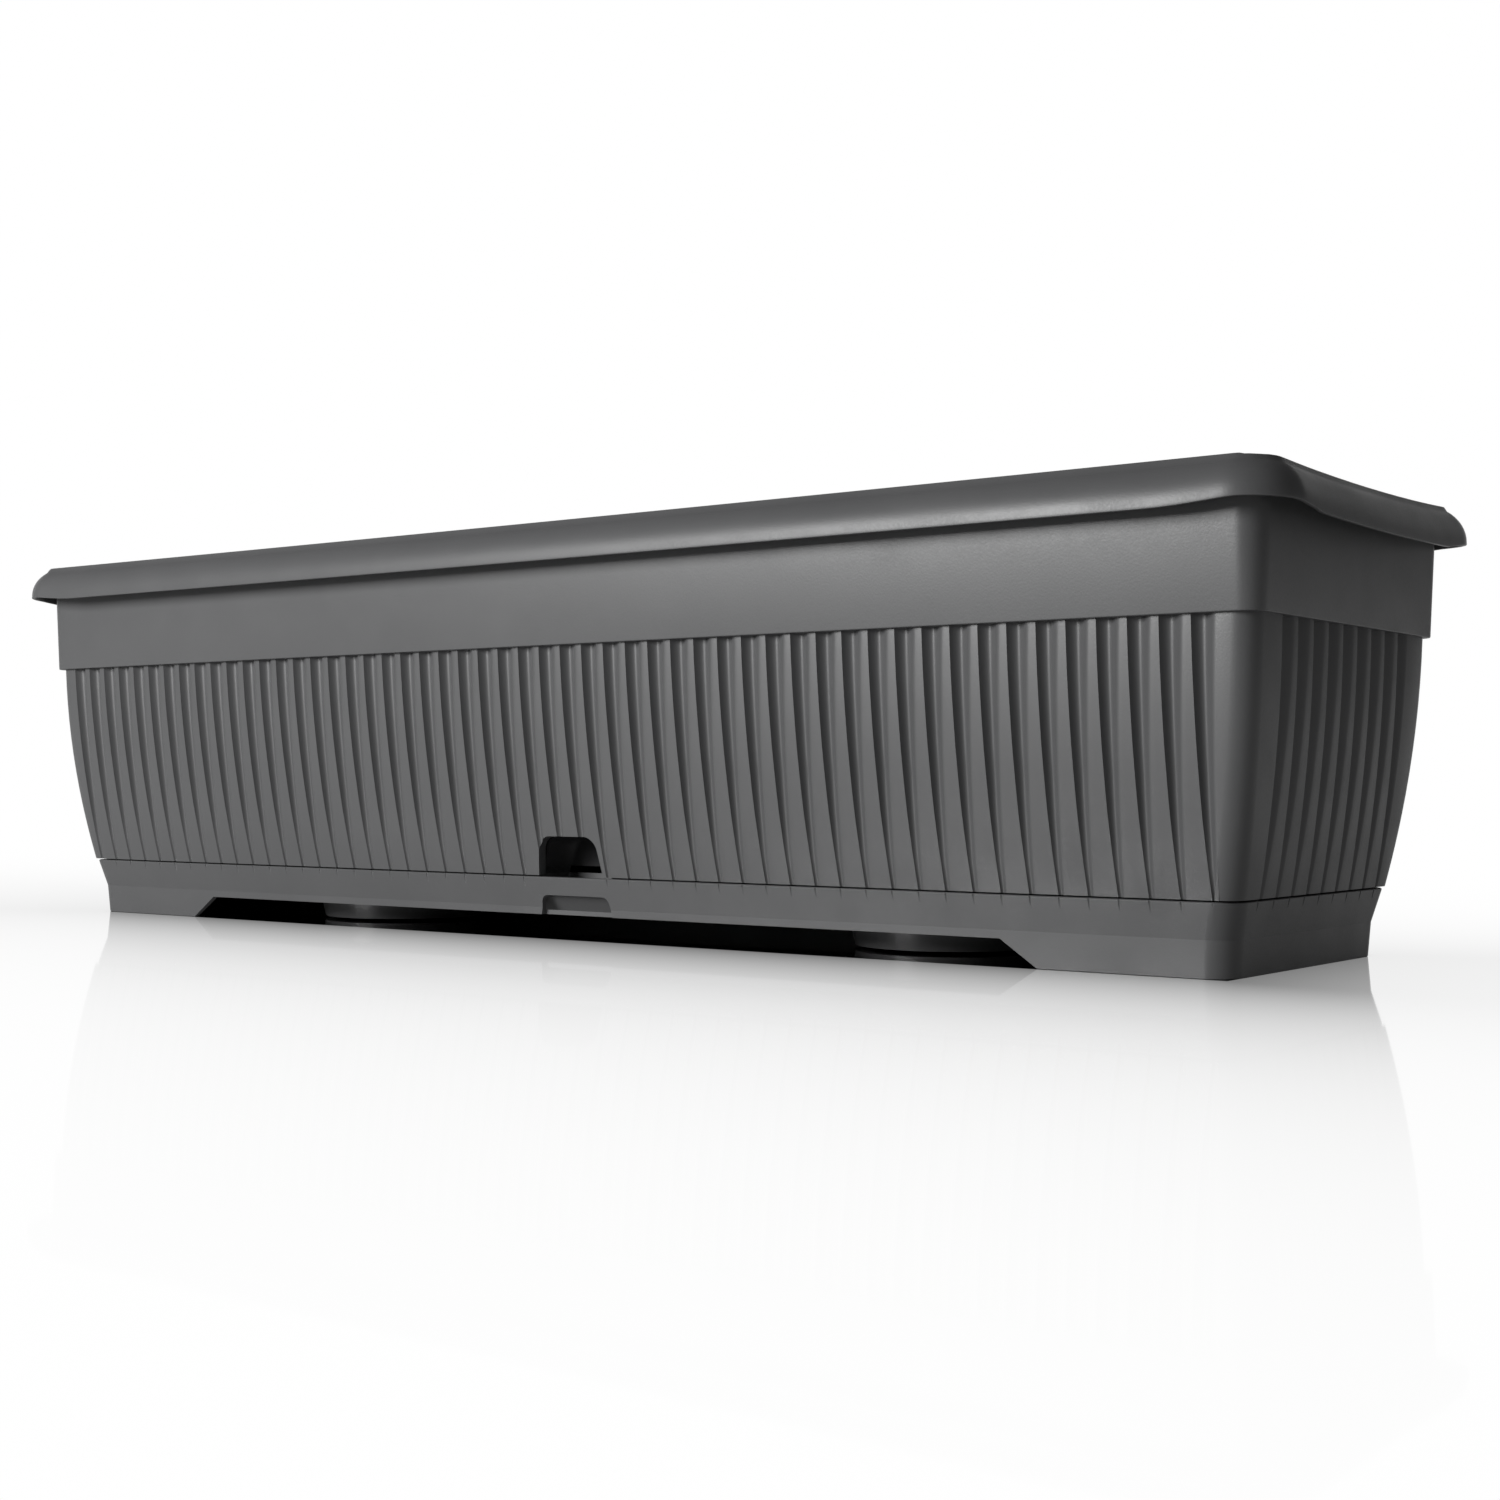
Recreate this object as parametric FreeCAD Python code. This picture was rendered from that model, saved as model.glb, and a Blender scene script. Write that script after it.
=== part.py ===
"""Window box planter with a water tray.

A long trough with a rolled rim, a plain band and fluted barrel walls stands in a
shallow tray. A perforated grid carries the soil, and two slotted cups hang from it
into the round wells of the tray, where the soil in them draws the water up.

X runs along the box, -Y is the front with the water inlet, +Z is up. The origin is
at the middle of the footprint, on the floor. All sizes are in millimetres.
"""
import FreeCAD, Part
import math
import os

from FreeCAD import Vector

# ---------------------------------------------------------------- driving dimensions
# Overall
length = 600.0
width = 174.0
height = 154.0

# Rim of the box
rim_height = 15.0
rim_overhang = 10.6
rim_shell = 2.2
rim_corner = 6.5
rim_skirt = 1.5
step_height = 2.2
step_inset = 6.4
land_inset = 7.3

# Walls of the box
band_height = 30.2
band_draft = 1.3
band_wall = 2.6
band_corner = 8.0
flute_setback = 1.9
barrel_inset = 9.8
barrel_bulge = 1.9
barrel_wall = 3.6
barrel_corner = 9.0

# Flutes
front_flutes = 53
front_pitch = 10.4
end_flutes = 9
end_pitch = 12.0
flute_share = 0.745
flute_depth = 2.0
flute_fade = 0.22
flute_lean = 0.008
tick_length = 4.0
tick_radius = 0.8
tick_depth = 0.35

# Lower part of the box
seam_gap = 1.0
plug_ledge = 3.3
plug_wall = 2.6
plug_corner = 6.0
box_floor = 2.6
reservoir_gap = 5.0
stud_radius = 5.0
stud_spacing = 140.0
stud_columns = 4
stud_row = 38.0
drain_radius = 3.0
drain_spacing = 35.0
drain_columns = 14
drain_row = 20.0

# Water inlet
inlet_centre = 14.0
inlet_low_width = 32.8
inlet_top_width = 27.0
inlet_height = 14.2
inlet_corner = 5.0
inlet_depth = 18.0
inlet_wall = 2.4

# Tray
tray_height = 23.4
knee_height = 11.8
skirt_slope = 0.25
foot_draft = 0.8
tray_corner = 9.0
tray_wall = 2.0
basin_floor_z = 9.5
basin_inset = 9.7
basin_corner = 6.0
arch_height = 9.1
arch_top_length = 388.0
arch_foot_spread = 13.4
notch_low_width = 36.0
notch_top_width = 32.0
notch_top_z = 16.5
notch_corner = 2.5
well_offset = 139.0
well_radius = 36.0
well_clear_floor = 1.0
well_taper = 2.0

# Soil grid and cups
grid_legs = 4.0
grid_plate = 2.0
grid_clearance = 1.0
grid_corner = 5.0
grid_leg_radius = 4.0
slot_length = 16.0
slot_width = 3.0
slot_pitch_x = 24.0
slot_pitch_y = 9.0
slot_columns = 21
slot_rows = 9
slot_margin = 4.0
cup_radius = 28.0
cup_taper = 3.0
cup_wall = 2.0
cup_flange = 5.0
cup_flange_height = 2.0
cup_clearance = 1.0
cup_floor_gap = 1.0
cup_slots = 8
cup_slot_width = 3.0
cup_slot_low = 3.0
cup_slot_height = 8.0
floor_hole_clearance = 3.0

# How far cutting bodies run past the surfaces that they cut
over = 3.0

# Two heights or places nearer than this are taken as the same
same = 0.01

# ------------------------------------------------------------------ derived heights
rim_low_z = height - rim_height
flute_top_z = rim_low_z - band_height
ledge_z = tray_height + seam_gap
basin_top_z = basin_floor_z + tray_wall
floor_low_z = basin_top_z + reservoir_gap
floor_top_z = floor_low_z + box_floor
grid_low_z = floor_top_z + grid_legs
grid_top_z = grid_low_z + grid_plate
well_top_z = well_clear_floor + tray_wall
inlet_top_z = ledge_z + inlet_height

# ------------------------------------- derived insets, in from the edge of the rim
band_low_inset = rim_overhang + band_draft
flute_top_inset = band_low_inset + flute_setback
seam_inset = flute_top_inset + barrel_inset
plug_top_inset = seam_inset + plug_ledge
tray_top_inset = seam_inset + seam_gap * skirt_slope
knee_inset = tray_top_inset + (tray_height - knee_height) * skirt_slope
foot_inset = knee_inset + foot_draft
basin_top_inset = tray_top_inset + tray_wall
basin_low_inset = basin_top_inset + basin_inset
basin_slope = basin_inset / (tray_height - basin_top_z)
plug_low_inset = plug_top_inset + (ledge_z - floor_low_z) * basin_slope
plug_wall_across = plug_wall * math.hypot(1.0, basin_slope)


# -------------------------------------------------------------------- basic solids
def outline(inset, z, corner):
    """Closed wire: the plan outline of the rim moved in by inset, with round corners."""
    half_x = length / 2 - inset
    half_y = width / 2 - inset
    bend = corner * (1.0 - math.sqrt(0.5))
    edges = []
    signs = [(1, 1), (-1, 1), (-1, -1), (1, -1)]
    for index, (sx, sy) in enumerate(signs):
        next_x, next_y = signs[(index + 1) % 4]
        on_x = Vector(sx * half_x, sy * (half_y - corner), z)
        on_y = Vector(sx * (half_x - corner), sy * half_y, z)
        middle = Vector(sx * (half_x - bend), sy * (half_y - bend), z)
        if sx * sy > 0:
            first, last = on_x, on_y
            after = Vector(next_x * (half_x - corner), next_y * half_y, z)
        else:
            first, last = on_y, on_x
            after = Vector(next_x * half_x, next_y * (half_y - corner), z)
        edges.append(Part.Arc(first, middle, last).toShape())
        edges.append(Part.makeLine(last, after))
    return Part.Wire(edges)


def block(levels, corner):
    """Solid through plan outlines, given as (inset, z) from the lowest to the highest."""
    wires = []
    for inset, z in levels:
        wires.append(outline(inset, z, corner))
    return Part.makeLoft(wires, True, True)


def crossed_prisms(side):
    """Solid where the profile that side(half) draws in (across, z) holds both ways."""
    along = Part.Face(side(width / 2))
    across = Part.Face(side(length / 2))
    along.rotate(Vector(0, 0, 0), Vector(0, 0, 1), 90)
    along.translate(Vector(-length, 0, 0))
    across.translate(Vector(0, -width, 0))
    long_prism = along.extrude(Vector(2 * length, 0, 0))
    short_prism = across.extrude(Vector(0, 2 * width, 0))
    return long_prism.common(short_prism)


def mirrored_profile(half, points_and_arcs):
    """Closed wire in XZ: a right side, given from low to high, and its mirror image.

    Each item is (inset, z) for a straight run or (inset, z, mid_inset, mid_z) for an arc.
    """
    right = []
    left = []
    start = None
    for item in points_and_arcs:
        end = Vector(half - item[0], 0, item[1])
        if start is not None:
            mirror_start = Vector(-start.x, 0, start.z)
            mirror_end = Vector(-end.x, 0, end.z)
            if len(item) == 4:
                middle = Vector(half - item[2], 0, item[3])
                mirror_middle = Vector(-middle.x, 0, middle.z)
                right.append(Part.Arc(start, middle, end).toShape())
                left.append(Part.Arc(mirror_end, mirror_middle, mirror_start).toShape())
            else:
                right.append(Part.makeLine(start, end))
                left.append(Part.makeLine(mirror_end, mirror_start))
        start = end
    foot = Vector(half - points_and_arcs[0][0], 0, points_and_arcs[0][1])
    top = Part.makeLine(start, Vector(-start.x, 0, start.z))
    bottom = Part.makeLine(Vector(-foot.x, 0, foot.z), foot)
    return Part.Wire(right + [top] + left[::-1] + [bottom])


def round_upright_edges(solid, radius, tall):
    """Round the four corner edges of a solid that rise by at least tall."""
    upright = []
    for edge in solid.Edges:
        ends = [vertex.Point for vertex in edge.Vertexes]
        if len(ends) == 2 and abs(ends[0].z - ends[1].z) > tall:
            upright.append(edge)
    return solid.makeFillet(radius, upright)


# ----------------------------------------------------------------------- the walls
def wall_inset(share):
    """Inset of the barrel wall at a share of its height, 0 at its top, 1 at the seam."""
    chord = flute_top_inset + barrel_inset * share
    return chord - 4.0 * barrel_bulge * share * (1.0 - share)


def barrel(extra, low_z, top_z):
    """Solid inside the barrel surface moved in by extra, with rounder corners than an offset."""
    top_inset = flute_top_inset + extra
    mid_inset = wall_inset(0.5) + extra
    low_inset = seam_inset + extra
    mid_z = (top_z + low_z) / 2

    def side(half):
        return mirrored_profile(half, [(low_inset, low_z), (top_inset, top_z, mid_inset, mid_z)])

    return round_upright_edges(crossed_prisms(side), barrel_corner - extra / 2, (top_z - low_z) / 2)


def flute_cutter(half, position):
    """Ring segment that cuts one flute into the front wall at X = position."""
    pitch = front_pitch if half < length / 2 else end_pitch
    flute_width = pitch * flute_share
    section = flute_width ** 2 / (8 * flute_depth) + flute_depth / 2
    depths = [flute_depth, (flute_depth + flute_fade) / 2, flute_fade]
    points = []
    for index, depth in enumerate(depths):
        share = index / 2
        z = flute_top_z + (ledge_z - flute_top_z) * share
        points.append(Vector(position, -half + wall_inset(share) + depth, z))
    path = Part.Circle(points[0], points[1], points[2])
    centre = path.Center
    first_angle = math.asin((points[0].z - centre.z + over) / path.Radius)
    last_angle = math.asin((points[2].z - centre.z - over) / path.Radius)
    reach = path.Radius + section
    start = centre + Vector(0, -reach * math.cos(first_angle), reach * math.sin(first_angle))
    tangent = Vector(0, math.sin(first_angle), math.cos(first_angle))
    disc = Part.Face(Part.Wire(Part.makeCircle(section, start, tangent)))
    cutter = disc.revolve(centre, Vector(1, 0, 0), math.degrees(first_angle - last_angle))
    lean = math.degrees(math.atan(position * flute_lean / (flute_top_z - ledge_z)))
    cutter.rotate(Vector(position, 0, flute_top_z), Vector(0, 1, 0), lean)
    return cutter


def tick_cutter(half, position):
    """Small tilted rod that carries the end of a flute on into the edge of the tray."""
    foot = position * (1.0 - flute_lean)
    top_y = -half + tray_top_inset
    rod_start = Vector(foot, top_y + tick_depth - tick_radius, tray_height)
    down = Vector(0, skirt_slope * tick_length - tick_depth, -tick_length)
    rod = Part.makeCylinder(tick_radius, 2 * tick_length, rod_start - down * 0.5, down)
    return rod


def on_all_sides(maker):
    """Copies of maker(half, position) along the front, the back and both ends."""
    copies = []
    rows = [(front_flutes, front_pitch, width / 2, 0.0), (end_flutes, end_pitch, length / 2, 90.0)]
    for count, pitch, half, turn in rows:
        for index in range(count):
            position = (index - (count - 1) / 2) * pitch
            for side in (0.0, 180.0):
                copy = maker(half, position)
                copy.rotate(Vector(0, 0, 0), Vector(0, 0, 1), turn + side)
                copies.append(copy)
    return copies


# ------------------------------------------------------------------------- the rim
def domed_block(edge_inset, radius, low_z, top_z):
    """Block whose sides rise straight from the edge, then curve in along an arc."""
    arc_z = rim_low_z + rim_skirt
    rise = top_z - arc_z
    centre_inset = edge_inset + radius
    top_inset = centre_inset - math.sqrt(radius ** 2 - rise ** 2)
    half_angle = math.asin(rise / radius) / 2
    mid_inset = centre_inset - radius * math.cos(half_angle)
    mid_z = arc_z + radius * math.sin(half_angle)

    def side(half):
        steps = [(edge_inset, low_z), (edge_inset, arc_z), (top_inset, top_z, mid_inset, mid_z)]
        return mirrored_profile(half, steps)

    return crossed_prisms(side)


def rim():
    """Rolled rim: a domed shell, open below, with a low step on top."""
    shoulder_z = height - step_height
    rise = shoulder_z - rim_low_z - rim_skirt
    radius = (step_inset ** 2 + rise ** 2) / (2 * step_inset)
    dome = domed_block(0.0, radius, rim_low_z, shoulder_z)
    trim = block([(0.0, rim_low_z - over), (0.0, height)], rim_corner)
    hollow = domed_block(rim_shell, radius - rim_shell, rim_low_z - over, shoulder_z - rim_shell)
    hollow_trim = block([(rim_shell, rim_low_z - over), (rim_shell, height)], rim_corner - rim_shell)
    land = block([(step_inset, shoulder_z), (land_inset, height)], rim_corner)
    return dome.common(trim).cut(hollow.common(hollow_trim)).fuse(land)


# ------------------------------------------------------------------- the water inlet
def trapezoid_prism(centre, low_width, top_width, low_z, top_z, corner, y_from, y_to):
    """Prism along Y: a trapezoid with its two upper corners rounded."""
    points = [
        Vector(centre - low_width / 2, y_from, low_z),
        Vector(centre + low_width / 2, y_from, low_z),
        Vector(centre + top_width / 2, y_from, top_z),
        Vector(centre - top_width / 2, y_from, top_z),
    ]
    face = Part.Face(Part.makePolygon(points + points[:1]))
    prism = face.extrude(Vector(0, y_to - y_from, 0))
    if corner <= 0:
        return prism
    upper = []
    for edge in prism.Edges:
        ends = [vertex.Point for vertex in edge.Vertexes]
        is_high = min(ends[0].z, ends[1].z) > top_z - same
        if is_high and abs(ends[0].y - ends[1].y) > same:
            upper.append(edge)
    return prism.makeFillet(corner, upper)


def inlet_recess(margin):
    """Space behind the inlet, from the front of the box in, grown by margin."""
    back_y = -width / 2 + seam_inset + inlet_depth + margin
    recess = trapezoid_prism(
        inlet_centre,
        inlet_low_width + 2 * margin,
        inlet_top_width + 2 * margin,
        ledge_z,
        inlet_top_z + margin,
        inlet_corner + margin,
        -width / 2,
        back_y,
    )
    chute_width = inlet_low_width + 2 * margin
    chute_low_z = floor_low_z if margin > 0 else floor_low_z - over
    chute = Part.makeBox(
        chute_width,
        back_y + width / 2,
        ledge_z - chute_low_z,
        Vector(inlet_centre - chute_width / 2, -width / 2, chute_low_z),
    )
    return recess.fuse(chute)


# ------------------------------------------------------------------------- the box
def round_posts(radius, low_z, high_z, columns, spacing, row):
    """Two rows of upright cylinders, at -row and +row."""
    posts = []
    for index in range(columns):
        x = (index - (columns - 1) / 2) * spacing
        for y in (-row, row):
            posts.append(Part.makeCylinder(radius, high_z - low_z, Vector(x, y, low_z)))
    return posts


def planter_box():
    return lower_box().fuse(upper_box())


def upper_box():
    """The rim, the band under it and the collar between them, around the throat."""
    band = block([(band_low_inset, flute_top_z), (rim_overhang, rim_low_z)], band_corner)
    collar = block([(rim_overhang, rim_low_z), (rim_overhang, height - step_height)], band_corner)
    inner_corner = band_corner - band_wall
    step_z = flute_top_z + band_wall
    throat = block(
        [(band_low_inset + band_wall, step_z), (rim_overhang + band_wall, height + over)],
        inner_corner,
    )
    neck_inset = flute_top_inset + barrel_wall
    neck = block([(neck_inset, flute_top_z - over), (neck_inset, step_z)], inner_corner)
    return band.fuse([collar, rim()]).cut([throat, neck])


def lower_box():
    """The fluted walls, the plug that nests in the tray, the floor and the inlet."""
    barrel_floor_z = ledge_z + plug_wall
    plug = block([(plug_low_inset, floor_low_z), (plug_top_inset, ledge_z)], plug_corner)
    plug_space_low = plug_low_inset + plug_wall_across - box_floor * basin_slope
    plug_space_top = plug_top_inset + plug_wall_across - plug_wall * basin_slope
    plug_space = block([(plug_space_low, floor_top_z), (plug_space_top, barrel_floor_z)], plug_corner)
    room = barrel(barrel_wall, barrel_floor_z, flute_top_z).fuse(plug_space)
    full = barrel(0.0, ledge_z, flute_top_z).fuse(plug)

    pocket = inlet_recess(inlet_wall).common(barrel(barrel_wall / 2, ledge_z, flute_top_z).fuse(plug))
    studs = round_posts(stud_radius, basin_top_z, floor_low_z, stud_columns, stud_spacing, stud_row)
    drain_low_z = floor_low_z - over
    drain_top_z = floor_top_z + over
    holes = round_posts(drain_radius, drain_low_z, drain_top_z, drain_columns, drain_spacing, drain_row)
    hole_radius = cup_radius + floor_hole_clearance
    for x in (-well_offset, well_offset):
        hole = Part.makeCylinder(hole_radius, drain_top_z - drain_low_z, Vector(x, 0, drain_low_z))
        holes.append(hole)
    shell = full.cut(room).fuse([pocket] + studs).cut([inlet_recess(0.0)] + holes)
    return shell.removeSplitter().cut(on_all_sides(flute_cutter))


# ------------------------------------------------------------------------ the tray
def water_tray():
    skirt = block([(foot_inset, 0.0), (knee_inset, knee_height), (tray_top_inset, tray_height)], tray_corner)
    basin_levels = [
        (basin_low_inset, basin_top_z),
        (basin_top_inset, tray_height),
        (basin_top_inset, tray_height + over),
    ]
    basin = block(basin_levels, basin_corner)
    skirt_inner_knee = knee_inset + tray_wall
    hollow = block([(foot_inset + tray_wall, -over), (skirt_inner_knee, basin_floor_z)], basin_corner)

    wall_across = tray_wall * math.hypot(1.0, basin_slope)
    apex_gap = basin_top_inset - wall_across - tray_top_inset - tray_wall
    apex_drop = -apex_gap / (basin_slope - skirt_slope)
    apex_z = tray_height - apex_drop - tray_wall / 2
    outer_at_apex = tray_top_inset + tray_wall + (tray_height - apex_z) * skirt_slope
    inner_at_apex = basin_top_inset - wall_across + (tray_height - apex_z) * basin_slope
    inner_low = basin_top_inset - wall_across + (tray_height - basin_floor_z) * basin_slope
    outer_low = tray_top_inset + tray_wall + (tray_height - basin_floor_z) * skirt_slope
    channel = block([(outer_low, basin_floor_z), (outer_at_apex, apex_z)], basin_corner)
    basin_outside = block([(inner_low, basin_floor_z), (inner_at_apex, apex_z)], basin_corner)
    tray = skirt.cut([basin, hollow, channel.cut(basin_outside)])

    wells = []
    well_spaces = []
    well_height = basin_floor_z - well_clear_floor
    space_height = basin_top_z - well_top_z
    inner = well_radius - tray_wall
    for x in (-well_offset, well_offset):
        base = Vector(x, 0, well_clear_floor)
        space_base = Vector(x, 0, well_top_z)
        wells.append(Part.makeCone(well_radius - well_taper, well_radius, well_height, base))
        well_spaces.append(Part.makeCone(inner - well_taper, inner, space_height, space_base))
    tray = tray.fuse(wells).cut(well_spaces)

    arch = trapezoid_prism(
        0.0,
        arch_top_length + 2 * arch_foot_spread,
        arch_top_length,
        0.0,
        arch_height,
        0.0,
        -width / 2,
        -width / 2 + foot_inset + 2 * tray_wall,
    )
    notch = trapezoid_prism(
        inlet_centre,
        notch_low_width,
        notch_top_width,
        arch_height - over,
        notch_top_z,
        notch_corner,
        -width / 2,
        -width / 2 + outer_low + tray_wall,
    )
    notch = notch.cut(basin_outside)
    ticks = []
    for tick in on_all_sides(tick_cutter):
        middle = tick.CenterOfMass
        if middle.y > 0 or abs(middle.x - inlet_centre) > inlet_low_width / 2:
            ticks.append(tick)
    return tray.cut([arch, notch] + ticks)


# ------------------------------------------------------------------- grid and cups
def soil_grid():
    grid_inset = plug_low_inset + plug_wall_across + grid_clearance - box_floor * basin_slope
    hole_radius = cup_radius + cup_clearance
    notch_margin = inlet_wall + grid_clearance
    notch_width = inlet_low_width + 2 * notch_margin
    notch_back_y = -width / 2 + seam_inset + inlet_depth + notch_margin
    wires = [outline(grid_inset, grid_low_z, grid_corner)]
    for x in (-well_offset, well_offset):
        wires.append(Part.Wire(Part.makeCircle(hole_radius, Vector(x, 0, grid_low_z))))
    for column in range(slot_columns):
        x = (column - (slot_columns - 1) / 2) * slot_pitch_x
        for row in range(slot_rows):
            y = (row - (slot_rows - 1) / 2) * slot_pitch_y
            if slot_is_clear(x, y, hole_radius, notch_width, notch_back_y):
                wires.append(slot_outline(x, y))
    sheet = Part.makeFace(wires, "Part::FaceMakerBullseye")
    plate = sheet.extrude(Vector(0, 0, grid_plate))
    notch = Part.makeBox(
        notch_width,
        notch_back_y + width / 2,
        grid_plate + 2 * over,
        Vector(inlet_centre - notch_width / 2, -width / 2, grid_low_z - over),
    )
    legs = round_posts(grid_leg_radius, floor_top_z, grid_low_z, stud_columns, stud_spacing, stud_row)
    return plate.cut(notch).fuse(legs)


def slot_is_clear(x, y, hole_radius, notch_width, notch_back_y):
    """True where a slot stays clear of the cup holes, the legs, the notch and the edge."""
    reach = slot_length / 2 + slot_margin
    for cup_x in (-well_offset, well_offset):
        nearest = max(abs(x - cup_x) - slot_length / 2, 0.0)
        if math.hypot(nearest, y) < hole_radius + cup_flange + slot_width:
            return False
    for index in range(stud_columns):
        leg_x = (index - (stud_columns - 1) / 2) * stud_spacing
        nearest = max(abs(x - leg_x) - slot_length / 2, 0.0)
        if math.hypot(nearest, abs(y) - stud_row) < grid_leg_radius + slot_width:
            return False
    near_notch = abs(x - inlet_centre) < notch_width / 2 + reach
    if near_notch and y < notch_back_y + slot_margin:
        return False
    edge_inset = plug_low_inset + plug_wall_across + slot_margin
    return abs(x) + reach < length / 2 - edge_inset and abs(y) + slot_margin < width / 2 - edge_inset


def slot_outline(x, y):
    """Closed wire around a slot with round ends, on the lower face of the grid."""
    run = (slot_length - slot_width) / 2
    half = slot_width / 2
    edges = []
    for side in (1, -1):
        low = Vector(x + side * run, y - side * half, grid_low_z)
        tip = Vector(x + side * (run + half), y, grid_low_z)
        high = Vector(x + side * run, y + side * half, grid_low_z)
        edges.append(Part.Arc(low, tip, high).toShape())
        edges.append(Part.makeLine(high, Vector(x - side * run, y + side * half, grid_low_z)))
    return Part.Wire(edges)


def wick_cup(x):
    low_z = well_top_z + cup_floor_gap
    body = Part.makeCone(cup_radius - cup_taper, cup_radius, grid_top_z - low_z, Vector(x, 0, low_z))
    flange_radius = cup_radius + cup_flange
    flange = Part.makeCylinder(flange_radius, cup_flange_height, Vector(x, 0, grid_top_z))
    inner = cup_radius - cup_wall
    inner_low_z = low_z + cup_wall
    space = Part.makeCone(inner - cup_taper, inner, grid_top_z - inner_low_z, Vector(x, 0, inner_low_z))
    mouth = Part.makeCylinder(inner, cup_flange_height + over, Vector(x, 0, grid_top_z))
    cuts = [space, mouth]
    for index in range(cup_slots // 2):
        slot = Part.makeBox(
            2 * cup_radius + over,
            cup_slot_width,
            cup_slot_height,
            Vector(x - cup_radius - over / 2, -cup_slot_width / 2, low_z + cup_slot_low),
        )
        slot.rotate(Vector(x, 0, 0), Vector(0, 0, 1), 360.0 / cup_slots * (index + 0.5))
        cuts.append(slot)
    return body.fuse(flange).cut(cuts)


# --------------------------------------------------------------------------- write
def write(name, shape):
    solid = shape.removeSplitter()
    if len(solid.Solids) == 1:
        solid = solid.Solids[0]
    print(name, "solids", len(solid.Solids), "valid", solid.isValid(), "volume", round(solid.Volume))
    solid.exportStep("parts/" + name + ".step")


os.makedirs("parts", exist_ok=True)
write("planter_box", planter_box())
write("water_tray", water_tray())
write("soil_grid", soil_grid())
write("wick_cup_left", wick_cup(-well_offset))
write("wick_cup_right", wick_cup(well_offset))
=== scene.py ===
# %% [markdown]
# A window box planter, dressed around its CAD model.
# The box is one long moulding of satin anthracite plastic: a rolled rim, a plain band
# and barrel walls with tapered flutes. It nests in a shallow water tray. The CAD model
# gives every body its place. Here the two outer mouldings are modelled again with soft
# edges and true flutes, and the hidden grid and cups keep their CAD shape.

# %% Load the CAD frame
import math

import bpy
from mathutils import Matrix, Vector


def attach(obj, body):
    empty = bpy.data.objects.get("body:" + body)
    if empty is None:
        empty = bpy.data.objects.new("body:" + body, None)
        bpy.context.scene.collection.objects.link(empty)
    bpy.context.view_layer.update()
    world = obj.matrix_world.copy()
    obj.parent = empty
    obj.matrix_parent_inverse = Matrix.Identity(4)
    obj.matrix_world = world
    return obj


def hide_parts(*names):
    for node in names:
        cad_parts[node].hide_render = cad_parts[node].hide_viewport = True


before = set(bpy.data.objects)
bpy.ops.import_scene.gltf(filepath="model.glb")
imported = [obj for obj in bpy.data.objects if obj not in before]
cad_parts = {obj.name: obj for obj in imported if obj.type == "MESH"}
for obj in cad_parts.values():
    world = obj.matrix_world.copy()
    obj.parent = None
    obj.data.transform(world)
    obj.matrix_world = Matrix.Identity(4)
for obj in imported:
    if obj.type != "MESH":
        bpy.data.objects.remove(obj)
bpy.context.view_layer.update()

# %% [markdown]
# The real sizes come first, in metres. Nearly all are the same numbers as in the CAD
# source, and an "inset" is always measured in from the outer edge of the rim. The seam
# between wall and tray is half as wide as there, because the real one is a hairline.
# The last three are no sizes of the planter: how close two points are to count as one,
# how close a point is to a place it is picked by, and the facets of a round corner.

# %% Sizes of the real planter
MM = 0.001
LENGTH = 600 * MM
WIDTH = 174 * MM
HEIGHT = 154 * MM
RIM_LOW = 139 * MM
BAND_LOW = 108.8 * MM
SEAM = 23.9 * MM
TRAY_TOP = 23.4 * MM
BAND_TOP_INSET = 10.6 * MM
BAND_LOW_INSET = 11.9 * MM
FLUTE_TOP_INSET = 13.8 * MM
SEAM_INSET = 23.6 * MM
TRAY_TOP_INSET = 23.85 * MM
WALL_BULGE = 1.9 * MM
WALL_THICK = 3.6 * MM
WALL_TOP = 110.2 * MM
MERGE = 0.005 * MM
NEAR = MERGE * 10
CORNER_STEPS = 8
print("planter", LENGTH, "x", WIDTH, "x", HEIGHT, "m")

# %% [markdown]
# A few small helpers keep the cells below short. Every operator acts on all that is
# selected, so a piece always starts from an empty selection, and vertices or edges are
# picked by their place before an operator runs.

# %% Helpers: start a piece, pick by place, move what is picked
def clear_selection():
    if bpy.context.object and bpy.context.object.mode == "EDIT":
        bpy.ops.object.mode_set(mode="OBJECT")
    bpy.ops.object.select_all(action="DESELECT")


def only(piece):
    clear_selection()
    piece.select_set(True)
    bpy.context.view_layer.objects.active = piece


def pick_vertices(piece, test):
    bpy.ops.mesh.select_mode(type="VERT")
    bpy.ops.mesh.select_all(action="DESELECT")
    bpy.ops.object.mode_set(mode="OBJECT")
    for vertex in piece.data.vertices:
        vertex.select = test(vertex.co)
    bpy.ops.object.mode_set(mode="EDIT")


def pick_edges(piece, test):
    bpy.ops.mesh.select_mode(type="EDGE")
    bpy.ops.mesh.select_all(action="DESELECT")
    bpy.ops.object.mode_set(mode="OBJECT")
    points = piece.data.vertices
    for edge in piece.data.edges:
        edge.select = test(points[edge.vertices[0]].co, points[edge.vertices[1]].co)
    bpy.ops.object.mode_set(mode="EDIT")


def move(x=0.0, y=0.0, z=0.0):
    bpy.ops.transform.translate(value=(x, y, z))


def squeeze(x=1.0, y=1.0, z=1.0, about=(0.0, 0.0, 0.0)):
    bpy.ops.transform.resize(value=(x, y, z), center_override=about)


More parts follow.
